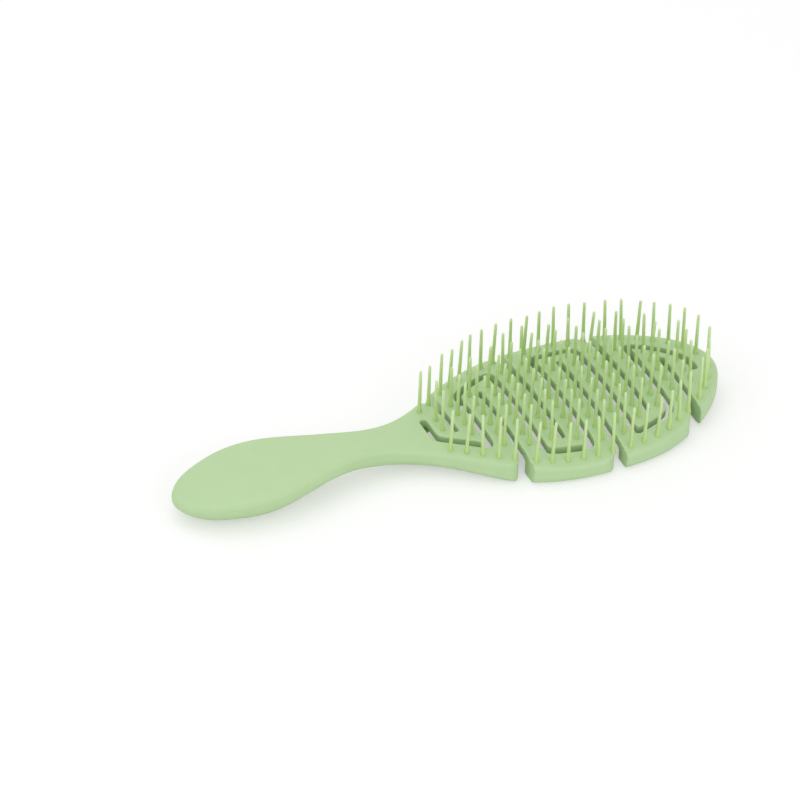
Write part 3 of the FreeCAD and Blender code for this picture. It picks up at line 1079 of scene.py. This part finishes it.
@dataclass(frozen=True)
class PlasticWithFootShade(PlasticFinish):
    """A plastic for slim upright pieces, deeper in colour at the foot than at the tip: painted shade and
    bounced colour from the lattice, fading out towards the tip.
    """

    CLOUDING: ClassVar[float] = 0.5

    # Heights between which the painted shade at the pins' foot fades into the paler tip
    foot_height: float
    tip_height: float

    def tone(self, bench: NodeBench, place: Signal, clouding: Signal) -> Signal:
        """Share of the paler colour, rising from the foot to the tip; the deeper foot is painted shade and
        bounced colour.
        """
        height = bench.make("ShaderNodeSeparateXYZ", None, {"Vector": place}, "Z")
        rise = (height - self.foot_height * MM) / ((self.tip_height - self.foot_height) * MM)
        return (rise + (clouding - 0.5) * self.CLOUDING).clamped()


BODY_FINISH = PlasticFinish(
    name="pastel_body_plastic",
    colour=srgb(190, 217, 168),
    deep_colour=srgb(182, 211, 158),
    roughness=0.46,
    roughness_spread=0.08,
    glow=0.12,
    glow_reach=1.2,
    grain=0.12,
    grain_size=0.35,
    cloud_size=9.0,
)
# Pin plastic: deep_colour at the foot is painted shade and bounced colour from the lattice, colour is the
# paler tip
PIN_PLASTIC_AND_FOOT_SHADE = PlasticWithFootShade(
    name="clear_green_pin_plastic",
    colour=srgb(208, 230, 178),
    deep_colour=srgb(189, 217, 138),
    roughness=0.36,
    roughness_spread=0.06,
    glow=0.35,
    glow_reach=1.6,
    grain=0.08,
    grain_size=0.3,
    cloud_size=6.0,
    foot_height=11.0,
    tip_height=31.0,
)


@dataclass
class PinField:
    """The pins of one body: slim, tapered, with a flared foot and a round tip."""

    LENGTHS: ClassVar[tuple[str, ...]] = (
        "length", "base_radius", "tip_radius", "foot_radius", "foot_height", "sunk")
    LEAST_DOME: ClassVar[float] = 0.0004
    WELD: ClassVar[float] = 0.002

    material: bpy.types.Material
    length: float = 20.0
    base_radius: float = 0.8
    tip_radius: float = 0.58
    foot_radius: float = 1.2
    foot_height: float = 1.6
    sunk: float = 0.6
    lean_degrees: float = 2.6
    rings: int = 10
    sides: int = 9
    seed: int = 7

    def __post_init__(self) -> None:
        """Build the tree that all bodies share."""
        self.tree = self._tree()

    def _tree(self) -> bpy.types.GeometryNodeTree:
        """Geometry nodes that stand a pin on every given point.

        Returns:
            The tree, with named inputs for the pin's sizes.
        """
        tree = bpy.data.node_groups.new("standing_pins", "GeometryNodeTree")
        face = tree.interface
        face.new_socket("Geometry", in_out="INPUT", socket_type="NodeSocketGeometry")
        for name in self.LENGTHS + ("lean",):
            face.new_socket(self._title(name), in_out="INPUT", socket_type="NodeSocketFloat")
        face.new_socket("Seed", in_out="INPUT", socket_type="NodeSocketInt")
        face.new_socket("Material", in_out="INPUT", socket_type="NodeSocketMaterial")
        face.new_socket("Geometry", in_out="OUTPUT", socket_type="NodeSocketGeometry")
        bench = NodeBench(tree)
        given = bench.make("NodeGroupInput").beside
        pin = self._pin(bench, given)
        lean = given("Lean")
        back = 0.0 - lean
        most = bench.make("ShaderNodeCombineXYZ", None, {"X": lean, "Y": lean, "Z": math.pi})
        least = bench.make("ShaderNodeCombineXYZ", None, {"X": back, "Y": back, "Z": -math.pi})
        tilt = bench.make(
            "FunctionNodeRandomValue", {"data_type": "FLOAT_VECTOR"},
            {"Min": least, "Max": most, "Seed": given("Seed")})
        standing = bench.make(
            "GeometryNodeInstanceOnPoints", None,
            {"Points": given("Geometry"), "Instance": pin, "Rotation": tilt})
        real = bench.make("GeometryNodeRealizeInstances", None, {"Geometry": standing})
        dressed = bench.make(
            "GeometryNodeSetMaterial", None, {"Geometry": real, "Material": given("Material")})
        bench.make("NodeGroupOutput", None, {"Geometry": dressed})
        return tree

    @staticmethod
    def _title(name: str) -> str:
        """A size's name as the tree's input shows it."""
        return name.replace("_", " ").title()

    def _pin(self, bench: NodeBench, given: Callable[[str], Signal]) -> Signal:
        """One pin on the origin, turned about its axis.

        Args:
            bench: The tree's bench.
            given: Gives the tree's inputs by name.

        Returns:
            The pin's mesh.
        """
        length, base, tip, foot, foot_height, sunk = (given(self._title(name)) for name in self.LENGTHS)
        line = bench.make("GeometryNodeCurvePrimitiveLine", None, {"End": (0.0, 0.0, 1.0)})
        steps = bench.make("GeometryNodeResampleCurve", None, {"Curve": line, "Count": self.rings})
        share = bench.make("GeometryNodeSplineParameter", output="Index") / (self.rings - 1)
        crowded = 0.5 - 0.5 * (share * math.pi).cosine()
        crowded = 0.5 - 0.5 * (crowded * math.pi).cosine()
        height = crowded * (length + sunk)
        rise = bench.make("ShaderNodeCombineXYZ", None, {"Z": height - sunk})
        axis = bench.make("GeometryNodeSetPosition", None, {"Geometry": steps, "Position": rise})
        taper = base + crowded * (tip - base)
        over_foot = (1 - (height - sunk) / foot_height).clamped() ** 2.0
        flare = over_foot * (foot - base)
        to_tip = (length + sunk - height) / tip
        dome = (1 - (1 - to_tip).clamped() ** 2.0 + self.LEAST_DOME) ** 0.5
        radius = (taper + flare) * dome.clamped()
        circle = bench.make(
            "GeometryNodeCurvePrimitiveCircle", {"mode": "RADIUS"},
            {"Resolution": self.sides, "Radius": 1.0})
        mesh = bench.make(
            "GeometryNodeCurveToMesh", None,
            {"Curve": axis, "Profile Curve": circle, "Scale": radius, "Fill Caps": True})
        return bench.make("GeometryNodeSetShadeSmooth", None, {"Geometry": mesh, "Shade Smooth": True})

    def build(self, body: str) -> bpy.types.Object:
        """Stand the pins of one body where its solids have them.

        Args:
            body: Name of the body.

        Returns:
            The pins as one plain mesh object.
        """
        nodes = [node for node in frame["record"]["behaviour"]["bodies"][body] if node.endswith("_pins")]
        seats = np.vstack([self._seats(node) for node in nodes])
        mesh = bpy.data.meshes.new(f"{body}_seats")
        mesh.from_pydata(seats.tolist(), [], [])
        holder = placed(f"{body}_seats", mesh)
        modifier = holder.modifiers.new("pins", "NODES")
        modifier.node_group = self.tree
        values = {self._title(name): getattr(self, name) * MM for name in self.LENGTHS}
        values["Lean"] = math.radians(self.lean_degrees)
        values["Seed"] = self.seed + sorted(frame["bodies"]).index(body)
        values["Material"] = self.material
        for item in self.tree.interface.items_tree:
            if item.in_out == "INPUT" and item.name in values:
                modifier[item.identifier] = values[item.name]
        seen = holder.evaluated_get(bpy.context.evaluated_depsgraph_get())
        plain = bpy.data.meshes.new_from_object(seen)
        plain.name = f"{body}_pins"
        bpy.data.objects.remove(holder)
        piece = placed(f"{body}_pins", plain)
        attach(piece, body)
        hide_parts(*nodes)
        return piece

    def _seats(self, node: str) -> np.ndarray:
        """Where the pins of a node stand, in metres.

        Args:
            node: A node that is a group of pins.

        Returns:
            One seat a row, on the crowned face.
        """
        net = bmesh.new()
        net.from_mesh(frame["nodes"][node].data)
        bmesh.ops.remove_doubles(net, verts=net.verts[:], dist=self.WELD * MM)
        seats = []
        waiting = set(net.verts)
        while waiting:
            group, edge_of_group = set(), [waiting.pop()]
            while edge_of_group:
                vertex = edge_of_group.pop()
                group.add(vertex)
                fresh = [edge.other_vert(vertex) for edge in vertex.link_edges]
                edge_of_group += [other for other in fresh if other in waiting]
                waiting.difference_update(fresh)
            places = np.array([vertex.co for vertex in group])
            middle = (places.min(axis=0) + places.max(axis=0)) / 2
            seats.append((middle[0], middle[1], places[:, 2].max() - self.length * MM))
        net.free()
        return np.array(sorted(seats))


@dataclass(frozen=True)
class Lamp:
    """A square soft lamp that faces the brush: metres and watts."""

    name: str
    place: tuple[float, float, float]
    size: float
    power: float

    def build(self) -> None:
        """Stand the lamp in the scene."""
        data = bpy.data.lights.new(self.name, "AREA")
        data.size = self.size
        data.energy = self.power
        lamp = placed(self.name, data)
        lamp.location = self.place
        lamp.rotation_euler = (-Vector(self.place)).to_track_quat("-Z", "Y").to_euler()


LAMPS = (
    Lamp("top_lamp", (-0.15, 0.35, 1.1), 1.0, 2.6),
    Lamp("front_lamp", (0.25, -1.1, 0.4), 0.9, 2.4),
    Lamp("left_lamp", (-0.9, -0.25, 0.7), 0.7, 1.3),
)


@dataclass(frozen=True)
class Studio:
    """White sweep, soft lamps and the camera at the photographed angle.

    The camera stands off the middle of the neck slot by a shift to the right, down and
    forwards in millimetres. Its sight and the floor's size are in metres.
    """

    focal_pixels: float = 8470.0
    image_width: int = 800
    sensor_width: float = 36.0
    right: tuple[float, float, float] = (0.9057, -0.4213, 0.0469)
    forward: tuple[float, float, float] = (0.3559, 0.6957, -0.624)
    shift_from_neck: tuple[float, float, float] = (11.71, 11.8, 3334.0)
    sight: float = 50.0
    floor_size: float = 6.0
    paper: float = 0.92
    seen_paper: float = 0.62
    seen_lift: float = 0.42
    world_level: float = 0.72

    def build(self, sizes: BrushSizes) -> None:
        """Set the camera, floor, world and lamps.

        Args:
            sizes: Driving sizes of the brush, for the point that the camera is placed from.
        """
        scene = bpy.context.scene
        scene.view_settings.view_transform = "Standard"
        self._camera(Vector((sizes.neck_slot_x, 0, sizes.crest_height)))
        self._floor(sizes.tip_x)
        self._world()
        for lamp in LAMPS:
            lamp.build()

    def _camera(self, origin: Vector) -> None:
        """Place the camera from a point of the brush.

        Args:
            origin: The point that the camera's place is given from, in millimetres.
        """
        forward = Vector(self.forward).normalized()
        right = (Vector(self.right) - forward * Vector(self.right).dot(forward)).normalized()
        down = forward.cross(right)
        x, y, z = self.shift_from_neck
        place = (origin - right * x - down * y - forward * z) * MM
        data = bpy.data.cameras.new("camera")
        data.sensor_width = self.sensor_width
        data.lens = self.focal_pixels * self.sensor_width / self.image_width
        data.clip_end = self.sight
        camera = placed("camera", data)
        turn = Matrix((right, -down, -forward)).transposed().to_4x4()
        camera.matrix_world = Matrix.Translation(place) @ turn
        bpy.context.scene.camera = camera

    def _floor(self, tip_x: float) -> None:
        """A white floor that the camera sees as white outside the shadow.

        Args:
            tip_x: The head's tip, which pushes the floor down when it bends below it.
        """
        half = self.floor_size / 2
        corners = [(-half, -half, 0), (half, -half, 0), (half, half, 0), (-half, half, 0)]
        mesh = bpy.data.meshes.new("floor")
        mesh.from_pydata(corners, [], [(0, 1, 2, 3)])
        floor = placed("floor", mesh)
        made = bpy.data.materials.new("white_sweep")
        made.use_nodes = True
        bench = NodeBench(made.node_tree)
        paper = bench.make("ShaderNodeBsdfDiffuse", None, {"Color": (*[self.paper] * 3, 1)})
        shaded = bench.make("ShaderNodeBsdfDiffuse", None, {"Color": (*[self.seen_paper] * 3, 1)})
        lift = bench.make("ShaderNodeEmission", None, {"Color": WHITE, "Strength": self.seen_lift})
        seen = bench.make("ShaderNodeAddShader", None, {0: shaded, 1: lift})
        camera_ray = bench.make("ShaderNodeLightPath", output="Is Camera Ray")
        surface = bench.make("ShaderNodeMixShader", None, {0: camera_ray, 1: paper, 2: seen})
        bench.make("ShaderNodeOutputMaterial", None, {"Surface": surface})
        mesh.materials.append(made)
        marker = placed("tip_marker", None)
        marker.location = (tip_x * MM, 0, 0)
        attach(marker, "tip_section")
        follow = floor.constraints.new("COPY_LOCATION")
        follow.target = marker
        follow.use_x = follow.use_y = False
        limit = floor.constraints.new("LIMIT_LOCATION")
        limit.use_max_z = True

    def _world(self) -> None:
        """White to the camera, glossy and clear rays, and a plain level for the light."""
        world = bpy.data.worlds.new("studio")
        world.use_nodes = True
        bpy.context.scene.world = world
        bench = NodeBench(world.node_tree)
        camera_ray = bench.make("ShaderNodeLightPath", output="Is Camera Ray")
        mirrored_ray = camera_ray.beside("Is Glossy Ray")
        clear_ray = camera_ray.beside("Is Transmission Ray")
        seen = (camera_ray + mirrored_ray + clear_ray).clamped()
        level = self.world_level + seen * (1 - self.world_level)
        light = bench.make("ShaderNodeBackground", None, {"Color": WHITE, "Strength": level})
        bench.make("ShaderNodeOutputWorld", None, {"Surface": light})


def main() -> None:
    logging.basicConfig(level=logging.INFO, format="%(name)s: %(message)s")
    sizes = BrushSizes()
    Studio().build(sizes)
    pieces = MouldedBody(sizes, BODY_FINISH.material()).build()
    pins = PinField(PIN_PLASTIC_AND_FOOT_SHADE.material())
    pieces += [pins.build(body) for body in frame["bodies"]]
    for piece in pieces:
        LOG.info("%s: %d faces", piece.name, len(piece.data.polygons))


if __name__ == "__main__":
    main()
